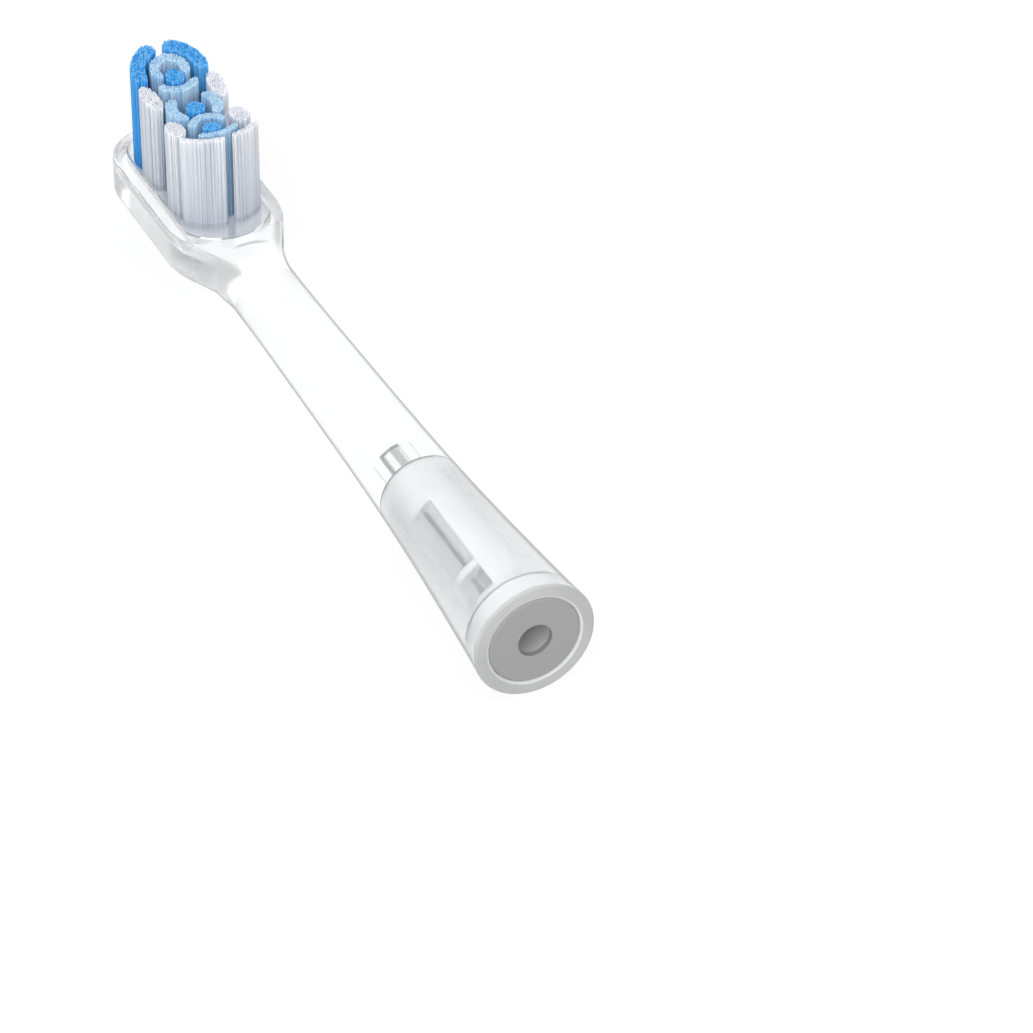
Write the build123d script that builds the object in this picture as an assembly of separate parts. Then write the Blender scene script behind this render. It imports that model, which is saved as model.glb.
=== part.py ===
from build123d import *
import math
import os

# Electric toothbrush head, in millimetres.
# The origin is the centre of the mouth of the shaft bore. +Y runs along the neck
# towards the tip, +Z is the way the bristles point, and X is the width.

# Sleeve and neck, round about the Y axis
mouth_radius = 6.2
mouth_edge = 0.3
neck_radius = 3.52
neck_end = 65.9
neck_end_round = 1.2
neck_blend = 1.0
# Flare of the sleeve: share of the way along the neck, and share of the way from the
# neck's radius out to the mouth's radius
flare_shares = [(0.138, 0.724), (0.281, 0.470), (0.448, 0.269), (0.663, 0.123)]

# Plate of the head, placed from the end of the neck
plate_top = 2.9
plate_thickness = 5.3
plate_half_width = 6.15
plate_length = 24.4
plate_tip_flat = 1.15
plate_corner_inset = 1.15
plate_root_depth = 4.4
plate_root_flat = 0.15
plate_shoulder_gap = 4.8
plate_shoulder_radius = 8.0
plate_top_edge = 0.35
plate_back_edge = 1.65

# Carrier that holds the bristles, seated in a pocket of the plate
carrier_thickness = 2.0
carrier_proud = 0.08
carrier_side_rim = 1.6
carrier_tip_rim = 1.3
carrier_front_gap = 1.8
carrier_front_flat = 0.65
carrier_edge = 0.12
pocket_clearance = 0.06

# Bristle tufts: they stand in slots of the carrier, and are cut to a hollow curve
slot_depth = 1.5
tuft_clearance = 0.04
trim_front_height = 11.0
trim_middle_height = 9.47
trim_tip_height = 11.6

# Bore of the sleeve
mouth_wall = 1.45
counterbore_depth = 3.3
counterbore_lip = 0.2
bore_step = 0.85
bore_radius_front = 3.2
bore_dome_height = 0.85
nose_bore_length = 4.5

# Shaft insert, seated with its flange in the counterbore
shaft_bore_radius = 1.75
shaft_bore_end = 22.0
dome_gap = 3.3
flange_clearance = 0.08
flange_shoulder_length = 1.1
flange_shoulder_step = 0.15
barrel_clearance_rear = 0.65
barrel_clearance = 0.15
window_angle = 140.0
long_window = (9.3, 19.6)
short_window = (5.0, 8.5)
window_width = 2.7
window_floor_radius = 2.55
# Slots in the floors of the windows: width, and shift towards the back
long_slot = (0.45, -0.2)
short_slot = (1.5, -0.5)
window_slot_inset = 0.4
window_slot_floor = 2.05

# Pin in the nose of the insert
pin_radius = 1.05
pin_gap = 0.8
pin_clearance = 0.02
nose_clearance = 0.05
pin_end_gap = 0.1
pin_chamfer = 0.3

# Shaft seal in the mouth, on the flange of the insert
seal_thickness = 0.6
seal_clearance = 0.04
seal_edge = 0.2

plate_tip = neck_end + plate_length
plate_root = neck_end - plate_root_depth
plate_root_half_width = plate_back_edge + plate_root_flat
plate_shoulder = neck_end + plate_shoulder_gap
plate_tip_radius = plate_half_width + plate_tip_flat
plate_corner_radius = plate_half_width - plate_corner_inset
plate_back = plate_top - plate_thickness
carrier_half_width = plate_half_width - carrier_side_rim
carrier_tip = plate_tip - carrier_tip_rim
carrier_front = neck_end + carrier_front_gap
carrier_length = carrier_tip - carrier_front
carrier_top = plate_top + carrier_proud
pocket_floor = carrier_top - carrier_thickness
slot_floor = carrier_top - slot_depth
trim_front = (carrier_front, plate_top + trim_front_height)
trim_middle = (carrier_front + carrier_length / 2, plate_top + trim_middle_height)
trim_tip = (carrier_tip, plate_top + trim_tip_height)
tuft_ceiling = plate_top + 2 * max(trim_front_height, trim_tip_height)
counterbore_radius = mouth_radius - mouth_wall
bore_radius_rear = counterbore_radius - bore_step
bore_dome_start = shaft_bore_end + dome_gap
nose_bore_end = bore_dome_start + nose_bore_length
nose_bore_radius = pin_radius + nose_clearance
pin_start = shaft_bore_end + pin_gap

# Layout of the tufts: a place along runs from 0 at the front of the carrier to 1 at its
# tip, a place across is in half-widths of the carrier, and sizes are in tuft units
lengths_per_tuft_unit = 4.68
tuft_unit = min(carrier_half_width, carrier_length / lengths_per_tuft_unit)


def mirrored_face(half_edges, z):
    """Closed face at height z from edges on the +X side that start and end on the Y axis."""
    half = Wire(half_edges)
    other = half.mirror(Plane.YZ)
    return Pos(0, 0, z) * make_face(half.edges() + other.edges())


def tip_outline(half_width, tip, corner_radius, tip_radius):
    """Side end point, corner arc and tip arc of a rounded end on the +X side."""
    corner_x = half_width - corner_radius
    reach = tip_radius - corner_radius
    tip_y = tip - tip_radius
    corner_y = tip_y + math.sqrt(reach**2 - corner_x**2)
    join = (corner_x * tip_radius / reach, tip_y + (corner_y - tip_y) * tip_radius / reach)
    turn = math.atan2(join[1] - corner_y, join[0] - corner_x) / 2
    corner_middle = (
        corner_x + corner_radius * math.cos(turn),
        corner_y + corner_radius * math.sin(turn),
    )
    turn = (math.atan2(join[1] - tip_y, join[0]) + math.pi / 2) / 2
    tip_middle = (tip_radius * math.cos(turn), tip_y + tip_radius * math.sin(turn))
    side = (half_width, corner_y)
    return side, [ThreePointArc(side, corner_middle, join), ThreePointArc(join, tip_middle, (0, tip))]


def plate_face(z):
    """Outline of the head's plate, from its root in the neck to its tip."""
    side, end_arcs = tip_outline(
        plate_half_width, plate_tip, plate_corner_radius, plate_tip_radius
    )
    root = (plate_root_half_width, plate_root)
    shoulder = (plate_half_width, plate_shoulder)
    flank = FilletPolyline((0, plate_root), root, shoulder, side, radius=[0, plate_shoulder_radius])
    return mirrored_face(flank.edges() + end_arcs, z)


def carrier_face(grow, z):
    """Outline of the bristle carrier, grown by a clearance."""
    half_width = carrier_half_width + grow
    side, end_arcs = tip_outline(
        half_width,
        carrier_tip + grow,
        plate_corner_radius - carrier_tip_rim + grow,
        plate_tip_radius - carrier_tip_rim + grow,
    )
    front_radius = half_width + carrier_front_flat
    front_y = carrier_front - grow + front_radius
    turn = math.asin(half_width / front_radius)
    middle = (front_radius * math.sin(turn / 2), front_y - front_radius * math.cos(turn / 2))
    corner = (half_width, front_y - front_radius * math.cos(turn))
    front = ThreePointArc((0, front_y - front_radius), middle, corner)
    return mirrored_face([front, Line(corner, side)] + end_arcs, z)


def make_head_body():
    """Clear one-piece moulding: sleeve, neck and plate, with the pocket and the bore."""
    mouth = Polyline((0, 0), (mouth_radius - mouth_edge, 0))
    mouth_round = RadiusArc(mouth @ 1, (mouth_radius, mouth_edge), -mouth_edge)
    knots = [(mouth_radius, mouth_edge)]
    for along, out in flare_shares:
        knots.append((neck_radius + out * (mouth_radius - neck_radius), along * neck_end))
    knots.append((neck_radius, neck_end - neck_end_round))
    flare = Spline(knots, tangents=[(-0.09, 1), (0, 1)])
    end_round = RadiusArc(flare @ 1, (neck_radius - neck_end_round, neck_end), -neck_end_round)
    axis = Polyline(end_round @ 1, (0, neck_end), (0, 0))
    neck = turned([mouth, mouth_round, flare, end_round, axis])

    plate = extrude(plate_face(plate_back), plate_thickness)
    plate = rounded_rim(plate, 0, plate_back_edge)
    plate = rounded_rim(plate, -1, plate_top_edge)

    shell = neck + plate
    shell = fillet(new_edges(neck, plate, combined=shell), neck_blend)

    pocket = extrude(carrier_face(pocket_clearance, pocket_floor), plate_thickness)
    lip_radius = counterbore_radius + counterbore_lip
    rear = Polyline(
        (0, -counterbore_depth),
        (lip_radius, -counterbore_depth),
        (lip_radius, 0),
        (counterbore_radius, counterbore_lip),
        (counterbore_radius, counterbore_depth),
        (bore_radius_rear, counterbore_depth),
        (bore_radius_front, bore_dome_start),
    )
    dome = dome_arc(bore_radius_front, bore_dome_height, nose_bore_radius)
    nose = Polyline(
        dome @ 1,
        (nose_bore_radius, nose_bore_end),
        (0, nose_bore_end),
        (0, -counterbore_depth),
    )
    return shell - pocket - turned([rear, dome, nose])


def dome_arc(radius, height, hole_radius):
    """Quarter ellipse from the side of the bore towards the axis, ending at a hole."""
    turn = math.degrees(math.acos(hole_radius / radius))
    return EllipticalCenterArc((0, bore_dome_start), radius, height, arc_size=turn)


def make_shaft_insert():
    """Moulded socket for the drive shaft: flange, barrel with side windows, domed nose."""
    flange_radius = counterbore_radius - flange_clearance
    barrel_radius = bore_radius_front - barrel_clearance
    hole_radius = pin_radius + pin_clearance
    outside = Polyline(
        (shaft_bore_radius, seal_thickness),
        (flange_radius, seal_thickness),
        (flange_radius, counterbore_depth - flange_shoulder_length),
        (flange_radius - flange_shoulder_step, counterbore_depth - flange_shoulder_length),
        (flange_radius - flange_shoulder_step, counterbore_depth),
        (bore_radius_rear - barrel_clearance_rear, counterbore_depth),
        (barrel_radius, bore_dome_start),
    )
    dome = dome_arc(barrel_radius, bore_dome_height - barrel_clearance, hole_radius)
    inside = Polyline(
        dome @ 1,
        (hole_radius, pin_start),
        (0, pin_start),
        (0, shaft_bore_end),
        (shaft_bore_radius, shaft_bore_end),
        (shaft_bore_radius, seal_thickness),
    )
    insert = turned([outside, dome, inside])
    windows = ((long_window, long_slot), (short_window, short_slot))
    for side in (window_angle, window_angle + 180):
        for (start, end), (width, shift) in windows:
            insert -= window_cut(side, start, end, window_floor_radius, window_width, 0)
            start += window_slot_inset
            end -= window_slot_inset
            insert -= window_cut(side, start, end, window_slot_floor, width, shift)
    return insert


def window_cut(side, start, end, floor_radius, width, shift):
    """Box that cuts one side of the barrel down to a flat floor, seen along its angle."""
    depth = counterbore_radius - floor_radius
    box = Box(depth, end - start, width)
    place = Pos(floor_radius + depth / 2, (start + end) / 2, shift)
    return Rot(0, -side, 0) * place * box


def make_nose_pin():
    """Short steel pin that stands in the nose of the insert and centres it in the neck."""
    end = nose_bore_end - pin_end_gap
    return turned([
        Polyline(
            (0, pin_start),
            (pin_radius, pin_start),
            (pin_radius, end - pin_chamfer),
            (pin_radius - pin_chamfer, end),
            (0, end),
            (0, pin_start),
        )
    ])


def make_shaft_seal():
    """Flat ring in the mouth, on the flange of the insert, around the drive shaft."""
    outer = counterbore_radius - seal_clearance
    return turned([
        Polyline(
            (shaft_bore_radius, 0),
            (outer - seal_edge, 0),
            (outer, seal_edge),
            (outer, seal_thickness),
            (shaft_bore_radius, seal_thickness),
            (shaft_bore_radius, 0),
        )
    ])


def band(along, radius, half_width, start, end):
    """Curved band about a centre on the Y axis, from one angle to another, with round ends."""
    centre = Vector(0, carrier_front + along * carrier_length)
    middle_radius = radius * tuft_unit

    def face(grow):
        half = half_width * tuft_unit + grow
        outer = CenterArc(centre, middle_radius + half, start, end - start)
        inner = CenterArc(centre, middle_radius - half, start, end - start)
        caps = []
        for angle, turn in ((start, 180), (end, 0)):
            middle = centre + Vector(middle_radius, 0).rotate(Axis.Z, angle)
            caps.append(CenterArc(middle, half, angle + turn, 180))
        return make_face([outer, inner] + caps)

    return face


def oval(across, along, half_width, half_length, lean=0):
    """Oval about a point, leaning to one side."""
    place = Pos(across * carrier_half_width, carrier_front + along * carrier_length)

    def face(grow):
        shape = Ellipse(half_width * tuft_unit + grow, half_length * tuft_unit + grow)
        return place * Rot(0, 0, lean) * shape

    return face


def make_tuft(face):
    """Tuft of bristles that stands in its slot, cut off by the trim of the whole field."""
    tuft = extrude(Pos(0, 0, slot_floor) * face(0), tuft_ceiling - slot_floor)
    return tuft - above_trim()


def above_trim():
    """Block above the hollow curve to which all bristles are cut."""
    curve = ThreePointArc(trim_front, trim_middle, trim_tip)
    top = Polyline(
        trim_tip,
        (trim_tip[0], 2 * tuft_ceiling),
        (trim_front[0], 2 * tuft_ceiling),
        trim_front,
    )
    profile = Plane.YZ * make_face([curve, top])
    return extrude(profile, plate_half_width, both=True)


def make_tuft_carrier(faces):
    """Clear plate in the pocket of the head, with one blind slot for each tuft."""
    carrier = extrude(carrier_face(0, pocket_floor), carrier_thickness)
    rim = carrier.faces().sort_by(Axis.Z)[-1].edges()
    carrier = chamfer(rim, carrier_edge)
    for face in faces:
        carrier -= extrude(Pos(0, 0, slot_floor) * face(tuft_clearance), slot_depth)
    return carrier


def rounded_rim(plate, which, radius):
    """Round the rim of the plate's back (0) or top (-1)."""
    return fillet(plate.faces().sort_by(Axis.Z)[which].edges(), radius)


def turned(edges):
    """Solid of revolution about the Y axis, from a closed profile in the XY plane."""
    return revolve(make_face(edges), Axis.Y)


tufts = {
    "tuft_tip_left": band(0.782, 0.741, 0.169, 111, 181),
    "tuft_tip_right": band(0.782, 0.727, 0.165, -3, 69),
    "tuft_horseshoe": band(0.793, 0.343, 0.112, -20, 200),
    "tuft_core_far": oval(0, 0.737, 0.209, 0.242),
    "tuft_cup_far": band(0.758, 0.516, 0.105, 221, 317),
    "tuft_side_far_left": oval(-0.787, 0.631, 0.169, 0.462, 4),
    "tuft_side_far_right": oval(0.787, 0.617, 0.169, 0.462, -4),
    "tuft_crescent_left": band(0.5, 0.521, 0.13, 144, 217),
    "tuft_crescent_right": band(0.5, 0.521, 0.13, -38, 34),
    "tuft_core_middle": oval(0, 0.488, 0.209, 0.227),
    "tuft_arch": band(0.319, 0.385, 0.105, 25, 155),
    "tuft_core_near": oval(0, 0.295, 0.209, 0.198),
    "tuft_cup_near": band(0.385, 0.769, 0.084, 243, 307),
    "tuft_side_near_left": oval(-0.77, 0.353, 0.185, 0.345),
    "tuft_side_near_right": oval(0.77, 0.348, 0.185, 0.345),
    "tuft_front_left": band(0.352, 0.945, 0.092, 213, 266),
    "tuft_front_right": band(0.437, 1.345, 0.099, 283, 310),
}

parts = {
    "head_body": make_head_body(),
    "tuft_carrier": make_tuft_carrier(tufts.values()),
    "shaft_insert": make_shaft_insert(),
    "nose_pin": make_nose_pin(),
    "shaft_seal": make_shaft_seal(),
}
for name, face in tufts.items():
    parts[name] = make_tuft(face)

os.makedirs("parts", exist_ok=True)
for name, shape in parts.items():
    shape.label = name
    export_step(shape, f"parts/{name}.step")
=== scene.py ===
import math

import bmesh
import bpy
import numpy as np
from mathutils import Matrix, Vector


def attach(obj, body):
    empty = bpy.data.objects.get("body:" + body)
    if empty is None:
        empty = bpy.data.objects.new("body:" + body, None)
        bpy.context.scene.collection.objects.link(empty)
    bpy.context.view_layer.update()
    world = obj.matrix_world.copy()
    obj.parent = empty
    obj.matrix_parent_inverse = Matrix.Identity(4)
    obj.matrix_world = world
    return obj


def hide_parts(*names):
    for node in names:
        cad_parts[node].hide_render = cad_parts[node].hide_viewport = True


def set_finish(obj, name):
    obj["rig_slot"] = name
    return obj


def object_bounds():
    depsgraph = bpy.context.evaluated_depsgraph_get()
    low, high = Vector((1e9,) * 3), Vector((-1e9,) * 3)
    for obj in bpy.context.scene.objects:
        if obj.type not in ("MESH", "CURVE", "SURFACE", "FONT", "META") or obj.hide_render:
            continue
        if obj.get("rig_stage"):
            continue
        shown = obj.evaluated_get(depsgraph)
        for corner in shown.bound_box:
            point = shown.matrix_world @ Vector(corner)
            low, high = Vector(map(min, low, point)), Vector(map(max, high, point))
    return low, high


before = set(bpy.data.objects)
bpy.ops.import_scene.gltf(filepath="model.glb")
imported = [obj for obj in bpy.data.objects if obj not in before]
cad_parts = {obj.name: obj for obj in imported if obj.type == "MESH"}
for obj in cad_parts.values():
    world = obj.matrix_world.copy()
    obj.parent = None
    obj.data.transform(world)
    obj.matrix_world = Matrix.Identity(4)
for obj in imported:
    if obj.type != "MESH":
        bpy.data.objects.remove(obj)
cad_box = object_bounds()
scene = bpy.context.scene

# Lengths below are in millimetres, in the part's own frame: +Y along the neck to the tip,
# +Z the way the bristles point. Meshes are scaled to metres when they are made.
MM = 0.001

# Clear moulding
MOUTH_RADIUS = 6.2
MOUTH_EDGE = 0.3
NECK_RADIUS = 3.52
NECK_END = 65.9
NECK_END_ROUND = 1.2
NECK_BLEND = 1.0
FLARE_SHARES = [(0.138, 0.724), (0.281, 0.470), (0.448, 0.269), (0.663, 0.123)]
FLARE_SLOPE = -0.09
PLATE_TOP = 2.9
PLATE_BACK = -2.4
PLATE_HALF_WIDTH = 6.15
PLATE_TIP = 90.3
PLATE_TIP_RADIUS = 7.3
PLATE_TIP_CENTRE = PLATE_TIP - PLATE_TIP_RADIUS
PLATE_CORNER_RADIUS = 5.0
PLATE_ROOT = (1.8, 61.5)
PLATE_SHOULDER = (6.15, 70.7)
PLATE_SHOULDER_RADIUS = 8.0
PLATE_TOP_EDGE = 0.35
PLATE_BACK_EDGE = 1.65

# Bore of the sleeve
LIP_RADIUS = 4.95
COUNTERBORE_RADIUS = 4.75
COUNTERBORE_DEPTH = 3.3
COUNTERBORE_LIP = 0.2
BORE_RADIUS_REAR = 3.9
BORE_RADIUS_FRONT = 3.2
DOME_START = 25.3
DOME_HEIGHT = 0.85
NOSE_BORE_RADIUS = 1.1
NOSE_BORE_END = 29.8
NOSE_END_RING_RADIUS = 0.5

# Shaft insert, pin and seal
SHAFT_BORE_RADIUS = 1.75
SHAFT_BORE_END = 22.0
SEAL_THICKNESS = 0.6
SEAL_RADIUS = 4.71
SEAL_EDGE = 0.2
SEAL_HOLE_EDGE = 0.05
FLANGE_RADIUS = 4.67
FLANGE_SHOULDER_START = 2.2
FLANGE_SHOULDER_RADIUS = 4.52
BARREL_RADIUS_REAR = 3.25
BARREL_RADIUS_FRONT = 3.05
BARREL_DOME_HEIGHT = 0.7
PIN_HOLE_RADIUS = 1.07
PIN_RADIUS = 1.05
PIN_START = 22.8
PIN_START_EDGE = 0.06
PIN_END = 29.7
PIN_CHAMFER = 0.3
WINDOW_ANGLES = (140, 320)
WINDOW_WIDTH = 2.7
WINDOW_FLOOR = 2.55
SLOT_FLOOR_RADIUS = 2.05
SLOT_INSET = 0.4
WINDOWS = [((9.3, 19.6), (0.45, -0.2)), ((5.0, 8.5), (1.5, -0.5))]
CUT_DEPTH = 3.0

# Carrier, and the gap that keeps pieces off the floors they stand on
CARRIER_HALF_WIDTH = 4.55
CARRIER_FRONT = 67.7
CARRIER_TIP = 89.0
CARRIER_LENGTH = CARRIER_TIP - CARRIER_FRONT
CARRIER_FRONT_FLAT = 0.65
CARRIER_RIM = 1.3
CARRIER_TOP = 2.98
CARRIER_EDGE = 0.12
POCKET_FLOOR = 0.98
POCKET_CLEARANCE = 0.06
POCKET_CUT_ABOVE = 2.0
FLOOR_GAP = 0.03

# Bristles: the trim is three (y, z) places on the hollow curve they are cut to, and the end of
# a filament is rounded in steps, each a share of its radius and a depth below its top
SLOT_FLOOR = 1.48
TRIM = [(67.7, 13.9), (78.35, 12.37), (89.0, 14.5)]
FILAMENT_RADIUS = 0.095
FILAMENT_PITCH = 0.168
ROW_PITCH = FILAMENT_PITCH * 0.88
FILAMENT_SIDES = 7
FILAMENT_END = [(1.0, 0.10), (0.82, 0.035), (0.42, 0.0)]
PLACE_SPREAD = 0.01
LEAN_SPREAD = 0.025
TOP_SPREAD = 0.04
SIDE_FAN = 0.15
# A painted highlight comes in over this length at the top of a filament
TIP_HIGHLIGHT_LENGTH = 0.4

# Fineness of the meshes: points in a ring, points on an arc, and the angle in degrees below
# which an edge is smooth
AROUND = 288
AROUND_INSIDE = 144
AROUND_PIN = 72
DOME_POINTS = 24
MOUTH_POINTS = 7
CARRIER_ARC_POINTS = (28, 26, 16)
SMOOTH_BELOW = 30
FILAMENT_SMOOTH_BELOW = 50

# Search for the outside of the clear moulding, along rays that start inside it. Rings stand
# closer where the neck runs into the plate. Past the centre of the tip they fan out by their
# lift in degrees, closer where they cross its rim.
RAY_REACH = 12.0
RAY_HALVINGS = 34
DENSE_AROUND = 961
BEND_SHARE = 0.15
BEND_SMOOTHINGS = 6
RING_PLACES = [
    np.linspace(0.9, 60, 44),
    np.linspace(60.4, 64.4, 11),
    np.arange(64.6, 67.4, 0.06),
    np.linspace(67.6, 73, 16),
    np.linspace(73.8, PLATE_TIP_CENTRE, 11),
]
RING_LIFTS = [np.linspace(2.5, 58, 22), np.arange(58.6, 80, 0.6), np.linspace(81, 88, 5)]

random = np.random.default_rng(11)


def add_object(name, data):
    """Object of a mesh, lamp or camera, put into the scene."""
    thing = bpy.data.objects.new(name, data)
    scene.collection.objects.link(thing)
    return thing


def closed_object(name, points, faces):
    """Object from points in mm and faces, with its faces turned outwards."""
    mesh = bpy.data.meshes.new(name)
    mesh.from_pydata((np.asarray(points, float) * MM).tolist(), [], [list(f) for f in faces])
    work = bmesh.new()
    work.from_mesh(mesh)
    bmesh.ops.recalc_face_normals(work, faces=work.faces)
    work.to_mesh(mesh)
    work.free()
    return add_object(name, mesh)


def make_piece(name, points, faces, slot, replaces, smooth_below=SMOOTH_BELOW):
    """Piece from points in mm and faces, with its edges sharp where they turn more than an angle."""
    piece = closed_object(name, points, faces)
    shade(piece, smooth_below)
    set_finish(piece, slot)
    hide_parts(*replaces)
    return piece


def shade(piece, smooth_below):
    """Smooth shading that breaks at edges turning more than smooth_below degrees."""
    mesh = piece.data
    mesh.polygons.foreach_set("use_smooth", [True] * len(mesh.polygons))
    mesh.set_sharp_from_angle(angle=math.radians(smooth_below))
    mesh.update()


def ring_faces(a, b, around):
    """Faces between two rings of points that start at the places a and b."""
    step = np.arange(around)
    following = (step + 1) % around
    return np.stack([a + step, a + following, b + following, b + step], 1).tolist()


def skin(rings, first=None, last=None):
    """Points and faces of a tube through rings of equal length, closed by a point or a flat cap."""
    rings = np.asarray(rings)
    count, around = rings.shape[:2]
    points = rings.reshape(-1, 3).tolist()
    step = np.arange(around)
    following = (step + 1) % around
    faces = []
    for k in range(count - 1):
        faces += ring_faces(k * around, (k + 1) * around, around)
    for cap, start in ((first, 0), (last, (count - 1) * around)):
        if cap is None:
            faces.append((start + step).tolist())
        else:
            points.append(list(cap))
            pole = np.full(around, len(points) - 1)
            faces += np.stack([start + step, start + following, pole], 1).tolist()
    return points, faces


def turned_rings(profile, around=AROUND):
    """Rings of a profile of (radius, y) turned round the Y axis."""
    turn = np.arange(around) * 2 * math.pi / around
    radius, y = np.array(profile).T
    return np.stack(
        [
            radius[:, None] * np.cos(turn),
            np.repeat(y[:, None], around, 1),
            radius[:, None] * np.sin(turn),
        ],
        -1,
    )


def arc_points(centre, radius, start, end, count):
    """Points on an arc, angles in radians."""
    turn = np.linspace(start, end, count)
    return np.stack([centre[0] + radius * np.cos(turn), centre[1] + radius * np.sin(turn)], -1)


def clamped_spline(knots, slope_start, slope_end):
    """Cubic spline through (x, value) knots with given end slopes, as a function."""
    x, v = np.array(knots).T
    gap = np.diff(x)
    system = np.zeros((len(x), len(x)))
    right = np.zeros(len(x))
    system[0, 0] = system[-1, -1] = 1
    right[0], right[-1] = slope_start, slope_end
    for i in range(1, len(x) - 1):
        system[i, i - 1 : i + 2] = [gap[i], 2 * (gap[i - 1] + gap[i]), gap[i - 1]]
        rise = (v[i] - v[i - 1]) / gap[i - 1] * gap[i] + (v[i + 1] - v[i]) / gap[i] * gap[i - 1]
        right[i] = 3 * rise
    slope = np.linalg.solve(system, right)

    def value(at):
        k = np.clip(np.searchsorted(x, at) - 1, 0, len(gap) - 1)
        t = np.clip((at - x[k]) / gap[k], 0, 1)
        return (
            v[k] * (1 + 2 * t) * (1 - t) ** 2
            + v[k + 1] * t**2 * (3 - 2 * t)
            + slope[k] * gap[k] * t * (1 - t) ** 2
            - slope[k + 1] * gap[k] * t**2 * (1 - t)
        )

    return value


flare_knots = [(MOUTH_EDGE, MOUTH_RADIUS)]
for along, out in FLARE_SHARES:
    flare_knots.append((along * NECK_END, NECK_RADIUS + out * (MOUTH_RADIUS - NECK_RADIUS)))
flare_knots.append((NECK_END - NECK_END_ROUND, NECK_RADIUS))
neck_radius_at = clamped_spline(flare_knots, FLARE_SLOPE, 0.0)


def both_rounded(a, b, radius):
    """Signed distance inside both a and b, with the edge between them rounded."""
    reach = np.hypot(np.maximum(a + radius, 0), np.maximum(b + radius, 0))
    return np.minimum(-radius, np.maximum(a, b)) + reach


def either_rounded(a, b, radius):
    """Signed distance inside a or b, with the crease between them filled."""
    reach = np.hypot(np.maximum(radius - a, 0), np.maximum(radius - b, 0))
    return np.maximum(radius, np.minimum(a, b)) - reach


def outline_distance(x, y):
    """Signed distance from the outline of the plate, seen from above."""
    x = np.abs(x)
    run = np.array(PLATE_SHOULDER) - np.array(PLATE_ROOT)
    run /= np.hypot(*run)
    normal = (run[1], -run[0])
    flank = (x - PLATE_SHOULDER[0]) * normal[0] + (y - PLATE_SHOULDER[1]) * normal[1]
    centre_x = PLATE_HALF_WIDTH - PLATE_SHOULDER_RADIUS
    centre_y = PLATE_SHOULDER[1] + PLATE_SHOULDER_RADIUS * (1 - normal[0]) / run[0]
    off_x, off_y = x - centre_x, y - centre_y
    shoulder = np.hypot(off_x, off_y) - PLATE_SHOULDER_RADIUS
    before = np.where(off_x * run[0] + off_y * run[1] < 0, flank, shoulder)
    before = np.maximum(before, PLATE_ROOT[1] - y)
    side = x - PLATE_HALF_WIDTH

    tip_y = PLATE_TIP_CENTRE
    corner_x = PLATE_HALF_WIDTH - PLATE_CORNER_RADIUS
    corner_y = tip_y + math.sqrt((PLATE_TIP_RADIUS - PLATE_CORNER_RADIUS) ** 2 - corner_x**2)
    corner = np.hypot(x - corner_x, y - corner_y) - PLATE_CORNER_RADIUS
    tip = np.hypot(x, y - tip_y) - PLATE_TIP_RADIUS
    in_tip = (y - tip_y) * corner_x > x * (corner_y - tip_y)
    beyond = np.where(in_tip, tip, corner)
    return np.where(y < centre_y, before, np.where(y < corner_y, side, beyond))


def body_distance(p):
    """Signed distance from the outside of the clear moulding, beyond the sleeve."""
    x, y, z = p[..., 0], p[..., 1], p[..., 2]
    outline = outline_distance(x, y)
    plate = both_rounded(outline, PLATE_BACK - z, PLATE_BACK_EDGE)
    plate = np.maximum(plate, both_rounded(outline, z - PLATE_TOP, PLATE_TOP_EDGE))
    neck = both_rounded(np.hypot(x, z) - neck_radius_at(y), y - NECK_END, NECK_END_ROUND)
    return either_rounded(neck, plate, NECK_BLEND)


def surface_points(origins, directions):
    """Points where rays from inside the moulding leave it."""
    near = np.zeros(directions.shape[:-1])
    far = np.full(directions.shape[:-1], RAY_REACH)
    for _ in range(RAY_HALVINGS):
        middle = (near + far) / 2
        inside = body_distance(origins + directions * middle[..., None]) < 0
        near = np.where(inside, middle, near)
        far = np.where(inside, far, middle)
    return origins + directions * far[..., None]


def ray_directions(turn, lift):
    """Directions at an angle round the Y axis, lifted towards +Y."""
    flat = np.cos(lift)
    return np.stack(
        [flat * np.cos(turn), np.sin(lift) + 0 * turn, flat * np.sin(turn)],
        -1,
    )


def outside_rings(origin_y, lift):
    """Rings round the moulding with more points where the section turns sharply."""
    dense = np.linspace(0, 2 * math.pi, DENSE_AROUND)[None, :]
    origins = np.zeros((len(origin_y), 1, 3))
    origins[:, 0, 1] = origin_y
    lift = np.asarray(lift)[:, None]
    ring = surface_points(origins, ray_directions(dense, lift))
    step = np.diff(ring, axis=1)
    length = np.linalg.norm(step, axis=-1)
    heading = step / np.maximum(length, 1e-9)[..., None]
    bend = np.linalg.norm(heading - np.roll(heading, 1, 1), axis=-1)
    weight = length / length.sum(1, keepdims=True) + BEND_SHARE * bend
    for _ in range(BEND_SMOOTHINGS):
        weight = (np.roll(weight, 1, 1) + weight + np.roll(weight, -1, 1)) / 3
    weight = (weight + weight[:, ::-1]) / 2
    total = np.concatenate([np.zeros((len(weight), 1)), np.cumsum(weight, 1)], 1)
    turn = np.empty((len(weight), AROUND))
    for k, row in enumerate(total):
        shares = np.arange(AROUND) / AROUND * row[-1]
        turn[k] = np.interp(shares, row, dense[0])
    return surface_points(origins, ray_directions(turn, lift))


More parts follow.
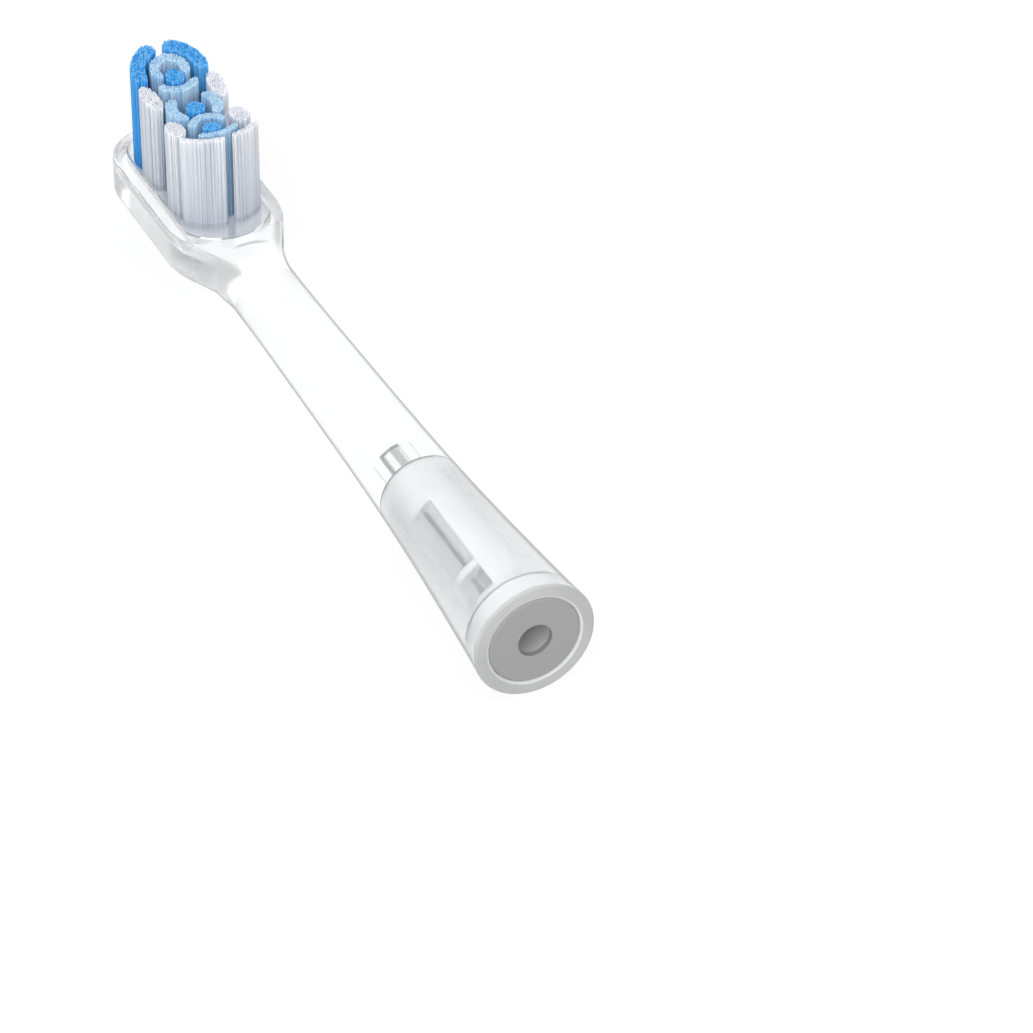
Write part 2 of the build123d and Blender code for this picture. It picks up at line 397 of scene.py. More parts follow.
def make_head_body():
    """Clear moulding: bore, mouth, neck and plate as one closed skin, with the pocket cut out."""
    nose_turn = math.acos(NOSE_BORE_RADIUS / BORE_RADIUS_FRONT)
    dome = [
        (BORE_RADIUS_FRONT * math.cos(t), DOME_START + DOME_HEIGHT * math.sin(t))
        for t in np.linspace(nose_turn, 0, DOME_POINTS)
    ]
    mouth = [
        (MOUTH_RADIUS - MOUTH_EDGE * (1 - math.sin(t)), MOUTH_EDGE * (1 - math.cos(t)))
        for t in np.linspace(0, math.pi / 2, MOUTH_POINTS)
    ]
    profile = [(NOSE_END_RING_RADIUS, NOSE_BORE_END), (NOSE_BORE_RADIUS, NOSE_BORE_END)]
    profile += dome
    profile += [
        (BORE_RADIUS_REAR, COUNTERBORE_DEPTH),
        (COUNTERBORE_RADIUS, COUNTERBORE_DEPTH),
        (COUNTERBORE_RADIUS, COUNTERBORE_LIP),
        (LIP_RADIUS, 0.0),
    ]
    profile += mouth
    bore = turned_rings(profile)

    along = np.concatenate(RING_PLACES)
    lifts = np.radians(np.concatenate(RING_LIFTS))
    origin_y = np.concatenate([along, np.full(len(lifts), PLATE_TIP_CENTRE)])
    outside = outside_rings(origin_y, np.concatenate([np.zeros(len(along)), lifts]))
    rings = np.concatenate([bore, outside])
    points, faces = skin(rings, (0, NOSE_BORE_END, 0), (0, PLATE_TIP, 0))
    body = make_piece("clear_moulding", points, faces, "clear_plastic", ["head_body"])

    levels = [(0, POCKET_FLOOR), (0, PLATE_TOP + POCKET_CUT_ABOVE)]
    cut(body, closed_object("pocket_cutter", *carrier_prism(POCKET_CLEARANCE, levels)))
    return body


def cut(piece, cutter):
    """Cut one closed mesh out of another and drop the cutter."""
    change = piece.modifiers.new("cut", "BOOLEAN")
    change.operation = "DIFFERENCE"
    change.solver = "MANIFOLD"
    change.object = cutter
    bpy.context.view_layer.update()
    evaluated = piece.evaluated_get(bpy.context.evaluated_depsgraph_get())
    mesh = bpy.data.meshes.new_from_object(evaluated)
    piece.modifiers.clear()
    piece.data = mesh
    bpy.data.objects.remove(cutter)
    shade(piece, SMOOTH_BELOW)


def carrier_outline(grow):
    """Closed outline of the bristle carrier, grown by a clearance."""
    half_width = CARRIER_HALF_WIDTH + grow
    tip = CARRIER_TIP + grow
    corner_radius = PLATE_CORNER_RADIUS - CARRIER_RIM + grow
    tip_radius = PLATE_TIP_RADIUS - CARRIER_RIM + grow
    reach = tip_radius - corner_radius
    corner_x = half_width - corner_radius
    tip_y = tip - tip_radius
    corner_y = tip_y + math.sqrt(reach**2 - corner_x**2)
    join = math.atan2(corner_y - tip_y, corner_x)
    front_radius = half_width + CARRIER_FRONT_FLAT
    front_y = CARRIER_FRONT - grow + front_radius
    spread = math.asin(half_width / front_radius)
    down = -math.pi / 2
    front_points, corner_points, tip_points = CARRIER_ARC_POINTS
    half = [
        arc_points((0, front_y), front_radius, down, down + spread, front_points),
        arc_points((corner_x, corner_y), corner_radius, 0, join, corner_points),
        arc_points((0, tip_y), tip_radius, join, math.pi / 2, tip_points)[1:],
    ]
    half = np.concatenate(half)
    other = half[1:-1][::-1] * [-1, 1]
    return np.concatenate([half, other])


def carrier_prism(grow, levels):
    """Points and faces of an upright prism of the carrier's outline, from (inset, z) levels."""
    rings = []
    for inset, z in levels:
        outline = carrier_outline(grow - inset)
        rings.append(np.column_stack([outline, np.full(len(outline), z)]))
    return skin(rings)


def make_carrier():
    """Clear plate under the bristles, with a chamfer round its top."""
    levels = [
        (0, POCKET_FLOOR + FLOOR_GAP),
        (0, CARRIER_TOP - CARRIER_EDGE),
        (CARRIER_EDGE, CARRIER_TOP),
    ]
    points, faces = carrier_prism(0, levels)
    return make_piece("carrier", points, faces, "clear_plastic_carrier", ["tuft_carrier"])


def box_cutter(centre, size, turn):
    """Box in mm, turned round the Y axis by degrees."""
    work = bmesh.new()
    bmesh.ops.create_cube(work, size=MM)
    place = Matrix.Rotation(-math.radians(turn), 4, "Y") @ Matrix.Translation(Vector(centre) * MM)
    bmesh.ops.transform(work, matrix=place @ Matrix.Diagonal((*size, 1)), verts=work.verts)
    mesh = bpy.data.meshes.new("cutter")
    work.to_mesh(mesh)
    work.free()
    return add_object("cutter", mesh)


def make_shaft_insert():
    """Frosted socket: flange, barrel with windows cut to a flat floor, domed nose, shaft bore."""
    flange_back = COUNTERBORE_DEPTH - FLOOR_GAP
    front = SEAL_THICKNESS + FLOOR_GAP
    nose_turn = math.acos(PIN_HOLE_RADIUS / BARREL_RADIUS_FRONT)
    dome = [
        (BARREL_RADIUS_FRONT * math.cos(t), DOME_START + BARREL_DOME_HEIGHT * math.sin(t))
        for t in np.linspace(0, nose_turn, DOME_POINTS)
    ]
    profile = [
        (SHAFT_BORE_RADIUS, SHAFT_BORE_END),
        (SHAFT_BORE_RADIUS, front),
        (FLANGE_RADIUS, front),
        (FLANGE_RADIUS, FLANGE_SHOULDER_START),
        (FLANGE_SHOULDER_RADIUS, FLANGE_SHOULDER_START),
        (FLANGE_SHOULDER_RADIUS, flange_back),
        (BARREL_RADIUS_REAR, flange_back),
    ]
    profile += dome
    profile += [(PIN_HOLE_RADIUS, PIN_START), (PIN_HOLE_RADIUS / 2, PIN_START)]
    rings = turned_rings(profile, AROUND_INSIDE)
    points, faces = skin(rings, (0, SHAFT_BORE_END, 0), (0, PIN_START, 0))
    insert = make_piece("socket", points, faces, "frosted_plastic", ["shaft_insert"])
    for side in WINDOW_ANGLES:
        for (start, end), (width, shift) in WINDOWS:
            window_cut(insert, side, start, end, WINDOW_FLOOR, WINDOW_WIDTH, 0)
            start += SLOT_INSET
            end -= SLOT_INSET
            window_cut(insert, side, start, end, SLOT_FLOOR_RADIUS, width, shift)
    return insert


def window_cut(insert, side, start, end, floor, width, shift):
    """Cut one side of the barrel down to a flat floor."""
    centre = (floor + CUT_DEPTH / 2, (start + end) / 2, shift)
    cut(insert, box_cutter(centre, (CUT_DEPTH, end - start, width), side))


def make_nose_pin():
    """Steel pin in the nose of the insert, with its ends just broken."""
    start = PIN_START + FLOOR_GAP
    profile = [
        (PIN_RADIUS / 2, start),
        (PIN_RADIUS - PIN_START_EDGE, start),
        (PIN_RADIUS, start + PIN_START_EDGE),
        (PIN_RADIUS, PIN_END - PIN_CHAMFER),
        (PIN_RADIUS - PIN_CHAMFER, PIN_END),
        (PIN_RADIUS / 2, PIN_END),
    ]
    points, faces = skin(turned_rings(profile, AROUND_PIN), (0, start, 0), (0, PIN_END, 0))
    return make_piece("pin", points, faces, "pin_steel", ["nose_pin"])


def make_shaft_seal():
    """Grey ring in the mouth, with a bevelled outer edge."""
    profile = [
        (SHAFT_BORE_RADIUS + SEAL_HOLE_EDGE, 0.0),
        (SEAL_RADIUS - SEAL_EDGE, 0.0),
        (SEAL_RADIUS, SEAL_EDGE),
        (SEAL_RADIUS, SEAL_THICKNESS),
        (SHAFT_BORE_RADIUS, SEAL_THICKNESS),
        (SHAFT_BORE_RADIUS, SEAL_HOLE_EDGE),
    ]
    rings = turned_rings(profile, AROUND_INSIDE)
    count, around = rings.shape[:2]
    faces = []
    for k in range(count):
        faces += ring_faces(k * around, (k + 1) % count * around, around)
    return make_piece("seal", rings.reshape(-1, 3), faces, "seal_grey", ["shaft_seal"])


def trim_height(y):
    """Height of the hollow curve to which the bristles are cut."""
    (y0, z0), (y1, z1), (y2, z2) = TRIM
    return (
        z0 * (y - y1) * (y - y2) / (y0 - y1) / (y0 - y2)
        + z1 * (y - y0) * (y - y2) / (y1 - y0) / (y1 - y2)
        + z2 * (y - y0) * (y - y1) / (y2 - y0) / (y2 - y1)
    )


def filament_rows(half_width, row_length):
    """Offsets across a tuft and places along each row, staggered, to its round ends."""
    room = half_width - FILAMENT_RADIUS
    count = max(2, round(2 * room / ROW_PITCH) + 1)
    for k, offset in enumerate(np.linspace(-room, room, count)):
        length = row_length(offset, room)
        number = max(1, round(length / FILAMENT_PITCH))
        shift = 0.5 if k % 2 else 0.0
        for i in range(number + 1 - (k % 2)):
            yield offset, ((i + shift) / number - 0.5) * length


def band(along, radius, half_width, start, end):
    """Filament places of a curved band."""
    centre_y = CARRIER_FRONT + along * CARRIER_LENGTH
    radius *= CARRIER_HALF_WIDTH
    half_width *= CARRIER_HALF_WIDTH
    start, end = math.radians(start), math.radians(end)

    def row_length(offset, room):
        cap = math.sqrt(max(room**2 - offset**2, 0))
        return (end - start) * (radius + offset) + 2 * cap

    places = []
    for offset, run in filament_rows(half_width, row_length):
        turn = (start + end) / 2 + run / (radius + offset)
        out = radius + offset
        places.append((out * math.cos(turn), centre_y + out * math.sin(turn)))
    return np.array(places)


def oval(across, along, half_width, half_length, lean=0):
    """Filament places of an oval tuft."""
    half_width *= CARRIER_HALF_WIDTH
    half_length *= CARRIER_HALF_WIDTH

    def row_length(offset, room):
        share = math.sqrt(max(1 - (offset / half_width) ** 2, 0))
        return max(2 * (half_length * share - FILAMENT_RADIUS), FILAMENT_PITCH)

    places = np.array(list(filament_rows(half_width, row_length)))
    turn = math.radians(lean)
    spin = np.array([[math.cos(turn), math.sin(turn)], [-math.sin(turn), math.cos(turn)]])
    middle = (across * CARRIER_HALF_WIDTH, CARRIER_FRONT + along * CARRIER_LENGTH)
    return places @ spin + middle


TUFTS = {
    "tuft_tip_left": ("bristle_blue", band(0.782, 0.741, 0.169, 111, 181)),
    "tuft_tip_right": ("bristle_blue", band(0.782, 0.727, 0.165, -3, 69)),
    "tuft_horseshoe": ("bristle_light_blue", band(0.793, 0.343, 0.112, -20, 200)),
    "tuft_core_far": ("bristle_blue", oval(0, 0.737, 0.209, 0.242)),
    "tuft_cup_far": ("bristle_light_blue", band(0.758, 0.516, 0.105, 221, 317)),
    "tuft_side_far_left": ("bristle_white", oval(-0.787, 0.631, 0.169, 0.462, 4)),
    "tuft_side_far_right": ("bristle_white", oval(0.787, 0.617, 0.169, 0.462, -4)),
    "tuft_crescent_left": ("bristle_light_blue", band(0.5, 0.521, 0.13, 144, 217)),
    "tuft_crescent_right": ("bristle_light_blue", band(0.5, 0.521, 0.13, -38, 34)),
    "tuft_core_middle": ("bristle_blue", oval(0, 0.488, 0.209, 0.227)),
    "tuft_arch": ("bristle_light_blue", band(0.319, 0.385, 0.105, 25, 155)),
    "tuft_core_near": ("bristle_blue", oval(0, 0.295, 0.209, 0.198)),
    "tuft_cup_near": ("bristle_light_blue", band(0.385, 0.769, 0.084, 243, 307)),
    "tuft_side_near_left": ("bristle_white", oval(-0.77, 0.353, 0.185, 0.345)),
    "tuft_side_near_right": ("bristle_white", oval(0.77, 0.348, 0.185, 0.345)),
    "tuft_front_left": ("bristle_white", band(0.352, 0.945, 0.092, 213, 266)),
    "tuft_front_right": ("bristle_white", band(0.437, 1.345, 0.099, 283, 310)),
}


def point_values(piece, name, values):
    """Store a value at each point of a piece, for its material to read."""
    attribute = piece.data.attributes.new(name, "FLOAT", "POINT")
    attribute.data.foreach_set("value", values.astype(np.float32))


def make_tuft(node, slot, places, fan):
    """Bundle of round-tipped filaments, each with its own tone, lean and height."""
    count = len(places)
    places = places + random.normal(0, PLACE_SPREAD, places.shape)
    tips = places + random.normal(0, LEAN_SPREAD, places.shape)
    tips[:, 0] += fan * (places[:, 0] - places[:, 0].mean())
    top = trim_height(tips[:, 1]) - np.abs(random.normal(0, TOP_SPREAD, count))
    turn = random.uniform(0, 2 * math.pi, count)[:, None]
    turn = turn + np.arange(FILAMENT_SIDES) * 2 * math.pi / FILAMENT_SIDES
    levels = [(places, np.full(count, SLOT_FLOOR), 1.0)]
    levels += [(tips, top - below, width) for width, below in FILAMENT_END]
    points = np.empty((count, len(levels), FILAMENT_SIDES, 3))
    for k, (centre, z, width) in enumerate(levels):
        radius = FILAMENT_RADIUS * width
        points[:, k, :, 0] = centre[:, :1] + radius * np.cos(turn)
        points[:, k, :, 1] = centre[:, 1:] + radius * np.sin(turn)
        points[:, k, :, 2] = z[:, None]
    points = points.reshape(-1, 3)
    size = len(levels) * FILAMENT_SIDES
    side = np.arange(FILAMENT_SIDES)
    one = []
    for k in range(len(levels) - 1):
        one += ring_faces(k * FILAMENT_SIDES, (k + 1) * FILAMENT_SIDES, FILAMENT_SIDES)
    one += [side[::-1].tolist(), (size - FILAMENT_SIDES + side).tolist()]
    faces = []
    for i in range(count):
        faces += [[i * size + v for v in face] for face in one]
    piece = make_piece(node + "_filaments", points, faces, slot, [node], FILAMENT_SMOOTH_BELOW)
    point_values(piece, "tone", np.repeat(random.uniform(0, 1, count), size))
    depth = np.repeat(top, size) - points[:, 2]
    # Share of the way up the top of each filament, where its material paints a highlight
    point_values(piece, "rise", 1 - np.clip(depth / TIP_HIGHLIGHT_LENGTH, 0, 1))
    return piece


def node_adder(owner):
    """Function that adds nodes to a material's or world's emptied tree."""
    owner.use_nodes = True
    tree = owner.node_tree
    tree.nodes.clear()

    def add(kind, inputs=None, **settings):
        node = tree.nodes.new(kind)
        for key, value in settings.items():
            setattr(node, key, value)
        for key, value in (inputs or {}).items():
            socket = node.inputs[key]
            if isinstance(value, bpy.types.NodeSocket):
                tree.links.new(value, socket)
            else:
                socket.default_value = value
        return node

    return add


def new_material(name):
    """Empty node material, and a function that adds nodes to it."""
    material = bpy.data.materials.new(name)
    return material, node_adder(material)


def object_place(add):
    """Place on the object, in metres."""
    return add("ShaderNodeTexCoord").outputs["Object"]


def mapped_noise(add, scale, stretch=(1, 1, 1), detail=3.0):
    """Noise in object coordinates, in features per millimetre."""
    scales = [s / MM for s in stretch]
    place = add("ShaderNodeMapping", {"Vector": object_place(add), "Scale": scales})
    return add(
        "ShaderNodeTexNoise",
        {"Vector": place.outputs["Vector"], "Scale": scale, "Detail": detail},
    ).outputs["Fac"]


def maths(add, operation, *values):
    """Result of a calculation with numbers or sockets."""
    return add("ShaderNodeMath", dict(enumerate(values)), operation=operation).outputs[0]


def ranged(add, value, low, high):
    """Value spread from low to high."""
    return add("ShaderNodeMapRange", {"Value": value, "To Min": low, "To Max": high}).outputs["Result"]


def share_between(add, value, low, high, **settings):
    """How far a value has come from low to high, as a share from 0 to 1."""
    limits = {"Value": value, "From Min": low, "From Max": high}
    return add("ShaderNodeMapRange", limits, **settings).outputs["Result"]


def grey(value):
    """Colour without a hue."""
    return (value, value, value)


# Places of the colour sockets in a mix node
MIX_COLOURS = (6, 7)
MIX_RESULT = 2


def mixed_colour(add, factor, first, second):
    """Colour between two that are each a socket or red, green and blue."""
    inputs = {"Factor": factor}
    for socket, colour in zip(MIX_COLOURS, (first, second)):
        inputs[socket] = colour if isinstance(colour, bpy.types.NodeSocket) else (*colour, 1)
    return add("ShaderNodeMix", inputs, data_type="RGBA").outputs[MIX_RESULT]


def radius_from_axis(add, place):
    """Distance from the Y axis."""
    flat = add("ShaderNodeVectorMath", {0: place, 1: (1, 0, 1)}, operation="MULTIPLY").outputs[0]
    return add("ShaderNodeVectorMath", {0: flat}, operation="LENGTH").outputs["Value"]


# Clear plastic. Zones are the stretches of y over which the look of the head, and of its root,
# comes in or goes out. Edges say how far a face has turned away from the view when a painted
# edge shade starts to grey it, and when it is fully grey.
HEAD_ZONE = (58, 67)
ROOT_ZONE_IN = (56, 62)
ROOT_ZONE_OUT = (66, 71)
ROOT_HAZE = 0.2
BORE_LIMIT_RADIUS = 5.0
BORE_LIMIT_TAPER = 0.045
BORE_HAZE = 0.32
FACE_MARGIN = 0.02
# End face of the mouth: haze and milk give it a satin finish, and its lip and rim greys are painted
# shade
END_FACE_HAZE = 0.5
END_FACE_MILK = 0.7
LIP_GREY = 0.66
RIM_GREY = 0.455
EDGE_ON_SLEEVE = (0.7, 0.84)
EDGE_ON_HEAD = (0.6, 1.0)
EDGE_SHADE_MILK = 0.8
EDGE_SHADE_COLOUR = (0.06, 0.065, 0.07)
LAMP_COLOUR = (0.93, 0.94, 0.95)


def clear_material(name, colour, head_haze, head_milk, coat):
    """Clear moulded plastic: painted shade greys its edges and end face; soft in the bore and head root.
    """
    material, add = new_material(name)
    waves = mapped_noise(add, 0.25, (1, 0.4, 1), 2.0)
    bump = add("ShaderNodeBump", {"Height": waves, "Strength": 0.05, "Distance": 0.1 * MM})
    place = object_place(add)
    along = add("ShaderNodeSeparateXYZ", {"Vector": place}).outputs["Y"]
    out = radius_from_axis(add, place)

    def eased(low, high):
        return share_between(add, along, low * MM, high * MM, interpolation_type="SMOOTHSTEP")

    def changed(value, share, by):
        return maths(add, "MULTIPLY_ADD", share, by, value)

    head = eased(*HEAD_ZONE)
    root = maths(add, "SUBTRACT", eased(*ROOT_ZONE_IN), eased(*ROOT_ZONE_OUT))
    rim = maths(add, "GREATER_THAN", out, (LIP_RADIUS + FACE_MARGIN) * MM)
    end_face = maths(add, "LESS_THAN", along, MOUTH_EDGE * MM)
    bore_limit = changed(BORE_LIMIT_RADIUS * MM, along, -BORE_LIMIT_TAPER)
    sleeve = maths(add, "LESS_THAN", along, (DOME_START + 1) * MM)
    bore = maths(add, "MULTIPLY", maths(add, "LESS_THAN", out, bore_limit), sleeve)

    haze = ranged(add, mapped_noise(add, 0.6), 0.01, 0.05)
    haze = changed(haze, head, head_haze)
    haze = changed(haze, root, ROOT_HAZE)
    haze = changed(haze, bore, BORE_HAZE)
    haze = changed(haze, end_face, END_FACE_HAZE)

    # Painted shade: where a face turns away from the view, its colour goes to a dark grey and it loses
    # clarity
    facing = add("ShaderNodeLayerWeight", {"Blend": 0.5}).outputs["Facing"]
    limits = [changed(a, head, b - a) for a, b in zip(EDGE_ON_SLEEVE, EDGE_ON_HEAD)]
    edge = share_between(add, facing, *limits)
    clarity = changed(1.0, head, -head_milk)
    clarity = changed(clarity, end_face, -END_FACE_MILK)
    clarity = changed(clarity, edge, -EDGE_SHADE_MILK)

    # Painted shade on the mouth's end face: a grey, lighter on the lip than on the rim
    end_face_shade = mixed_colour(add, rim, grey(LIP_GREY), grey(RIM_GREY))
    edge_shaded_colour = mixed_colour(add, edge, colour, EDGE_SHADE_COLOUR)
    plastic = add(
        "ShaderNodeBsdfPrincipled",
        {
            "Base Color": mixed_colour(add, end_face, edge_shaded_colour, end_face_shade),
            "Roughness": haze,
            "IOR": 1.5,
            "Transmission Weight": clarity,
            "Coat Weight": coat,
            "Coat Roughness": 0.05,
            "Coat IOR": 3.0,
            "Normal": bump.outputs["Normal"],
        },
    )
    lamps = add("ShaderNodeBsdfTransparent", {"Color": (*LAMP_COLOUR, 1)})
    shadow = add("ShaderNodeLightPath").outputs["Is Shadow Ray"]
    mix = add("ShaderNodeMixShader", {0: shadow, 1: plastic.outputs[0], 2: lamps.outputs[0]})
    add("ShaderNodeOutputMaterial", {"Surface": mix.outputs[0]})
    return material


# Frosted plastic: radii that part the wall of the shaft bore, the window floors and the outside.
# The bore wall and the window floors get darker greys, which are painted shade.
BORE_WALL_LIMIT = 1.9
WINDOW_FLOOR_LIMITS = (2.5, 3.0)


def frosted_material():
    """Milky moulded plastic with a fine matte grain, and painted shade in the bore and on window floors.
    """
    material, add = new_material("frosted_plastic_look")
    grain = mapped_noise(add, 8.0)
    outside = mixed_colour(add, mapped_noise(add, 0.35), grey(0.51), grey(0.56))
    out = radius_from_axis(add, object_place(add))
    beyond_bore = maths(add, "GREATER_THAN", out, BORE_WALL_LIMIT * MM)
    # Painted shade: darker greys for the bore wall and the window floors
    inside = mixed_colour(add, beyond_bore, grey(0.46), grey(0.35))
    depth = share_between(add, out, *(limit * MM for limit in WINDOW_FLOOR_LIMITS))
    bump = add("ShaderNodeBump", {"Height": grain, "Strength": 0.25, "Distance": 0.03 * MM})
    plastic = add(
        "ShaderNodeBsdfPrincipled",
        {
            "Base Color": mixed_colour(add, depth, inside, outside),
            "Roughness": ranged(add, grain, 0.45, 0.6),
            "Subsurface Weight": 0.4,
            "Subsurface Radius": (1.0, 1.0, 1.0),
            "Subsurface Scale": 1.2 * MM,
            "Normal": bump.outputs["Normal"],
        },
    )
    add("ShaderNodeOutputMaterial", {"Surface": plastic.outputs[0]})
    return material


# Steel of the pin: direction across its bands of painted reflection, place and grey of each band,
# and how much rougher its chamfer is
REFLECTION_BAND_DIRECTION = (0.87, 0, 0.49)
PAINTED_REFLECTION_BANDS = [(0.24, 0.32), (0.34, 1.0), (0.5, 1.0), (0.56, 0.58), (0.76, 0.58), (0.84, 1.0)]
CHAMFER_ROUGHNESS = 0.45


def steel_material():
    """Drawn steel with lengthwise bands of painted reflection and fine lines along the pin."""
    material, add = new_material("pin_steel_look")
    lines = mapped_noise(add, 6.0, (1, 0.03, 1), 4.0)
    bump = add("ShaderNodeBump", {"Height": lines, "Strength": 0.5, "Distance": 0.03 * MM})
    place = object_place(add)
    across = add("ShaderNodeVectorMath", {0: place, 1: REFLECTION_BAND_DIRECTION}, operation="DOT_PRODUCT")
    share = share_between(add, across.outputs["Value"], -PIN_RADIUS * MM, PIN_RADIUS * MM)
    # Painted reflection: light and dark bands across the pin, from the ramp's stops
    painted_reflection = add("ShaderNodeValToRGB", {"Fac": share})
    stops = painted_reflection.color_ramp.elements
    stops[0].color = (0.40, 0.40, 0.41, 1)
    stops[1].color = (0.88, 0.88, 0.89, 1)
    for at, value in PAINTED_REFLECTION_BANDS:
        stops.new(at).color = (*grey(value), 1)
    along = add("ShaderNodeSeparateXYZ", {"Vector": place}).outputs["Y"]
    end = maths(add, "GREATER_THAN", along, (PIN_END - PIN_CHAMFER) * MM)
    rough = ranged(add, lines, 0.15, 0.4)
    steel = add(
        "ShaderNodeBsdfPrincipled",
        {
            "Base Color": painted_reflection.outputs["Color"],
            "Metallic": 1.0,
            "Roughness": maths(add, "MULTIPLY_ADD", end, CHAMFER_ROUGHNESS, rough),
            "Normal": bump.outputs["Normal"],
        },
    )
    add("ShaderNodeOutputMaterial", {"Surface": steel.outputs[0]})
    return material


def seal_material():
    """Matte grey rubber with a fine grain, and painted shade in its hole."""
    material, add = new_material("seal_grey_look")
    grain = mapped_noise(add, 12.0)
    front = mixed_colour(add, grain, grey(0.23), grey(0.265))
    out = radius_from_axis(add, object_place(add))
    beyond_hole = maths(add, "GREATER_THAN", out, (SHAFT_BORE_RADIUS + FACE_MARGIN) * MM)
    bump = add("ShaderNodeBump", {"Height": grain, "Strength": 0.2, "Distance": 0.02 * MM})
    rubber = add(
        "ShaderNodeBsdfPrincipled",
        {
            # Painted shade: a darker grey on the wall of the hole
            "Base Color": mixed_colour(add, beyond_hole, grey(0.21), front),
            "Roughness": ranged(add, grain, 0.6, 0.8),
            "Normal": bump.outputs["Normal"],
        },
    )
    add("ShaderNodeOutputMaterial", {"Surface": rubber.outputs[0]})
    return material


# Bristles: the tone times this factor, less its whole part, is a second number for a filament
TONE_FACTOR = 7.3
GLOW_SHARE = 0.6


def bristle_material(name, dark, light, tip, highlight_range):
    """Nylon that passes light, toned from dark to light, with a painted highlight at some filaments'
    tips.

    The painted highlight comes in as a filament's second number goes across the range given for it.
    """
    material, add = new_material(name)
    tone = add("ShaderNodeAttribute", attribute_name="tone").outputs["Fac"]
    rise = add("ShaderNodeAttribute", attribute_name="rise").outputs["Fac"]
    second = maths(add, "FRACT", maths(add, "MULTIPLY", tone, TONE_FACTOR))
    # Painted highlight: the tip colour comes in at the tops of filaments picked by their second number
    tip_highlight = maths(add, "MULTIPLY", rise, share_between(add, second, *highlight_range))
    colour = mixed_colour(add, tip_highlight, mixed_colour(add, tone, dark, light), tip)
    streak = mapped_noise(add, 5.0, (1, 1, 0.08), 2.0)
    nylon = add(
        "ShaderNodeBsdfPrincipled",
        {
            "Base Color": colour,
            "Roughness": ranged(add, streak, 0.35, 0.55),
            "Specular IOR Level": 0.4,
        },
    )
    glow = add("ShaderNodeBsdfTranslucent", {"Color": colour})
    mix = add("ShaderNodeMixShader", {0: GLOW_SHARE, 1: nylon.outputs[0], 2: glow.outputs[0]})
    add("ShaderNodeOutputMaterial", {"Surface": mix.outputs[0]})
    return material


looks = {
    "clear_plastic": clear_material("clear_plastic_look", (0.97, 0.98, 0.985), 0.13, 0.12, 0.0),
    # The carrier's greyer tint is painted shade, darkening it against the moulding
    "clear_plastic_carrier": clear_material("carrier_look", (0.72, 0.74, 0.77), 0.06, 0.04, 1.0),
    "frosted_plastic": frosted_material(),
    "pin_steel": steel_material(),
    "seal_grey": seal_material(),
    # The third colour of each bristle look is its painted tip highlight
    "bristle_blue": bristle_material(
        "bristle_blue_look", (0.05, 0.50, 0.88), (0.11, 0.59, 0.94), (0.36, 0.76, 0.96), (0.3, 0.7)
    ),
    "bristle_light_blue": bristle_material(
        "bristle_light_blue_look", (0.49, 0.73, 0.90), (0.64, 0.83, 0.95), (0.82, 0.93, 0.97), (0.3, 0.7)
    ),
    "bristle_white": bristle_material(
        "bristle_white_look", (0.73, 0.76, 0.81), (0.87, 0.89, 0.93), (0.98, 0.985, 0.99), (0.1, 0.5)
    ),
}

pieces = [make_head_body(), make_carrier(), make_shaft_insert(), make_nose_pin(), make_shaft_seal()]
for node, (slot, places) in TUFTS.items():
    pieces.append(make_tuft(node, slot, places, SIDE_FAN if "_side_" in node else 0.0))
for piece in pieces:
    piece.data.materials.clear()
    piece.data.materials.append(looks[piece["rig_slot"]])
    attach(piece, "root")

# Surroundings: the two lengths of the floor are in metres, the lamps are in millimetres
FLOOR_HALF_WIDTH = 3.0
FLOOR_BELOW = 1e-5
FLOOR_WHITE_SHARE = 0.82
LAMP_TARGET = (0, 50, 0)
LAMPS = [
    ("key", (-260, -160, 420), 320, 1.05),
    ("fill", (320, 60, 300), 300, 0.35),
    ("front", (-150, -330, 240), 220, 0.85),
]


def seen_background(add):
    """One for rays from the camera and for those that metal and clear plastic send on."""
    path = add("ShaderNodeLightPath").outputs
    seen = path["Is Camera Ray"]
    for ray in ("Is Glossy Ray", "Is Transmission Ray"):
        seen = maths(add, "MAXIMUM", seen, path[ray])
    return seen


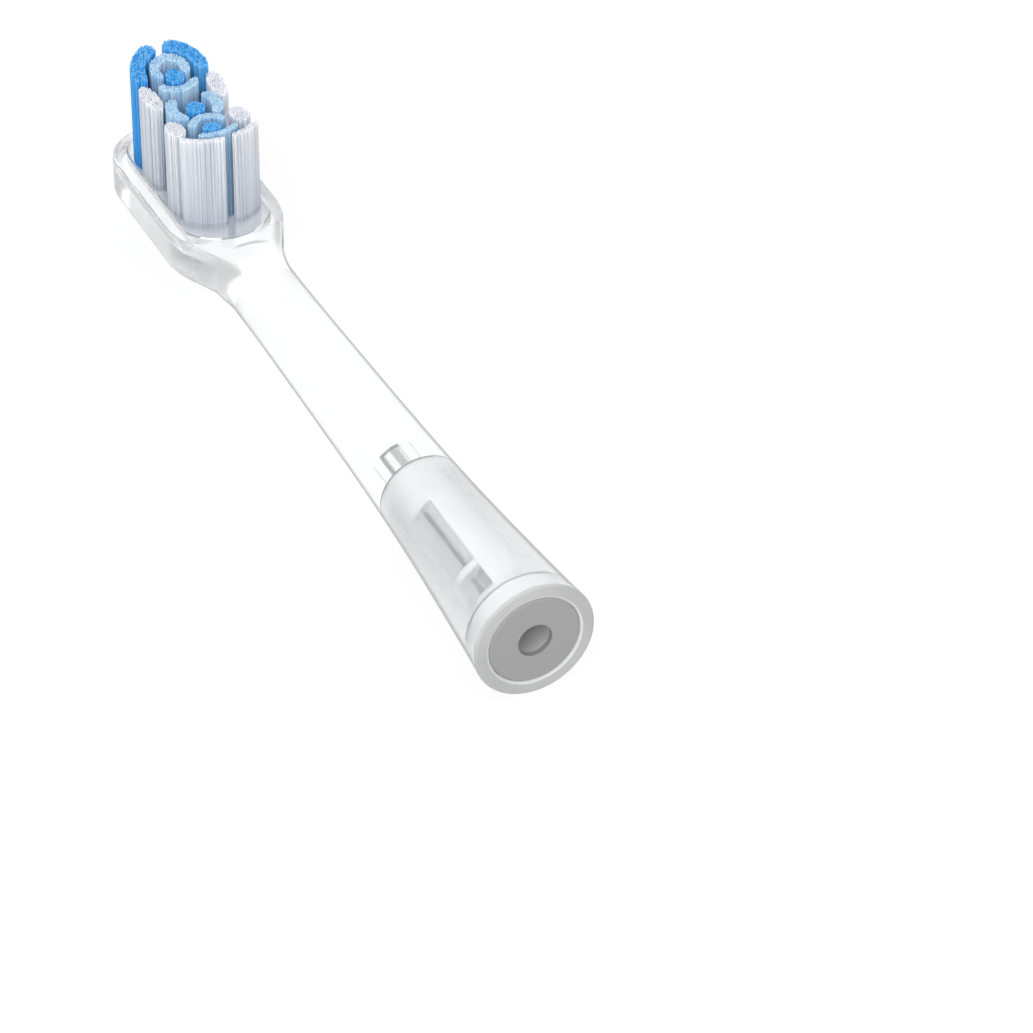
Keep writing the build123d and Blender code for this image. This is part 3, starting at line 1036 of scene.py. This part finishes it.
def make_floor():
    """Pale floor that the object lies on. It looks white and keeps the object's shadow."""
    size = FLOOR_HALF_WIDTH
    low = -MOUTH_RADIUS * MM - FLOOR_BELOW
    corners = [(-size, -size, low), (size, -size, low), (size, size, low), (-size, size, low)]
    mesh = bpy.data.meshes.new("floor")
    mesh.from_pydata(corners, [], [(0, 1, 2, 3)])
    floor = add_object("floor", mesh)
    material, add = new_material("floor_look")
    paper = add("ShaderNodeBsdfDiffuse", {"Color": (*grey(0.86), 1)})
    white = add("ShaderNodeEmission", {"Color": (1, 1, 1, 1), "Strength": 1.0})
    share = maths(add, "MULTIPLY", seen_background(add), FLOOR_WHITE_SHARE)
    mix = add("ShaderNodeMixShader", {0: share, 1: paper.outputs[0], 2: white.outputs[0]})
    add("ShaderNodeOutputMaterial", {"Surface": mix.outputs[0]})
    mesh.materials.append(material)
    floor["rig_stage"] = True


def make_world():
    """Soft white room, a little darker towards the horizon, and white where it is seen."""
    world = bpy.data.worlds.new("room")
    scene.world = world
    add = node_adder(world)
    place = add("ShaderNodeTexCoord").outputs["Generated"]
    height = add("ShaderNodeSeparateXYZ", {"Vector": place}).outputs["Z"]
    ramp = add("ShaderNodeValToRGB", {"Fac": height})
    stops = ramp.color_ramp.elements
    stops[0].color = (0.28, 0.29, 0.31, 1)
    stops[1].position = 0.5
    stops[1].color = (1.0, 1.0, 1.0, 1)
    stops.new(0.12).color = (0.60, 0.61, 0.63, 1)
    room = add("ShaderNodeBackground", {"Color": ramp.outputs["Color"], "Strength": 0.86})
    white = add("ShaderNodeBackground", {"Color": (1, 1, 1, 1), "Strength": 1.0})
    seen = seen_background(add)
    mix = add("ShaderNodeMixShader", {0: seen, 1: room.outputs[0], 2: white.outputs[0]})
    add("ShaderNodeOutputWorld", {"Surface": mix.outputs[0]})


def make_lamp(name, place, size, power):
    """Soft square lamp at a place, aimed at the part."""
    lamp = bpy.data.lights.new(name, "AREA")
    lamp.shape = "SQUARE"
    lamp.size = size * MM
    lamp.energy = power
    thing = add_object(name, lamp)
    thing.location = Vector(place) * MM
    thing.rotation_euler = (Vector(place) - Vector(LAMP_TARGET)).to_track_quat("Z", "Y").to_euler()


def make_camera():
    """Camera at the photograph's viewing angle, on an image of 1033 by 1033."""
    # The focal length and the place of the part's origin are in pixels, the scale is in pixels
    # per millimetre, and the angles are in degrees
    image = 1033
    focal = 6000
    scale = 10.75
    origin_at = (535.435, 640.659)
    azimuth, elevation = math.radians(-25.952), math.radians(37.96)
    sensor_width = 36
    back = Vector(
        (
            math.sin(azimuth) * math.cos(elevation),
            -math.cos(azimuth) * math.cos(elevation),
            math.sin(elevation),
        )
    )
    right = Vector((math.cos(azimuth), math.sin(azimuth), 0))
    up = back.cross(right)
    across = (origin_at[0] - image / 2) / scale
    above = (image / 2 - origin_at[1]) / scale
    camera = bpy.data.cameras.new("camera")
    camera.sensor_width = sensor_width
    camera.lens = focal / image * sensor_width
    camera.clip_start = 0.01
    camera.clip_end = 20
    thing = add_object("camera", camera)
    place = (back * (focal / scale) - right * across - up * above) * MM
    turn = Matrix((right, up, back)).transposed()
    thing.matrix_world = Matrix.Translation(place) @ turn.to_4x4()
    scene.camera = thing


make_floor()
make_world()
for lamp in LAMPS:
    make_lamp(*lamp)
make_camera()
scene.view_settings.view_transform = "Standard"
scene.cycles.max_bounces = 40
scene.cycles.diffuse_bounces = 10
scene.cycles.transmission_bounces = 40
scene.cycles.transparent_max_bounces = 40

visual_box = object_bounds()
boxes = {"cad": cad_box, "visual": visual_box}
{k: [list(corner) for corner in box] for k, box in boxes.items()}
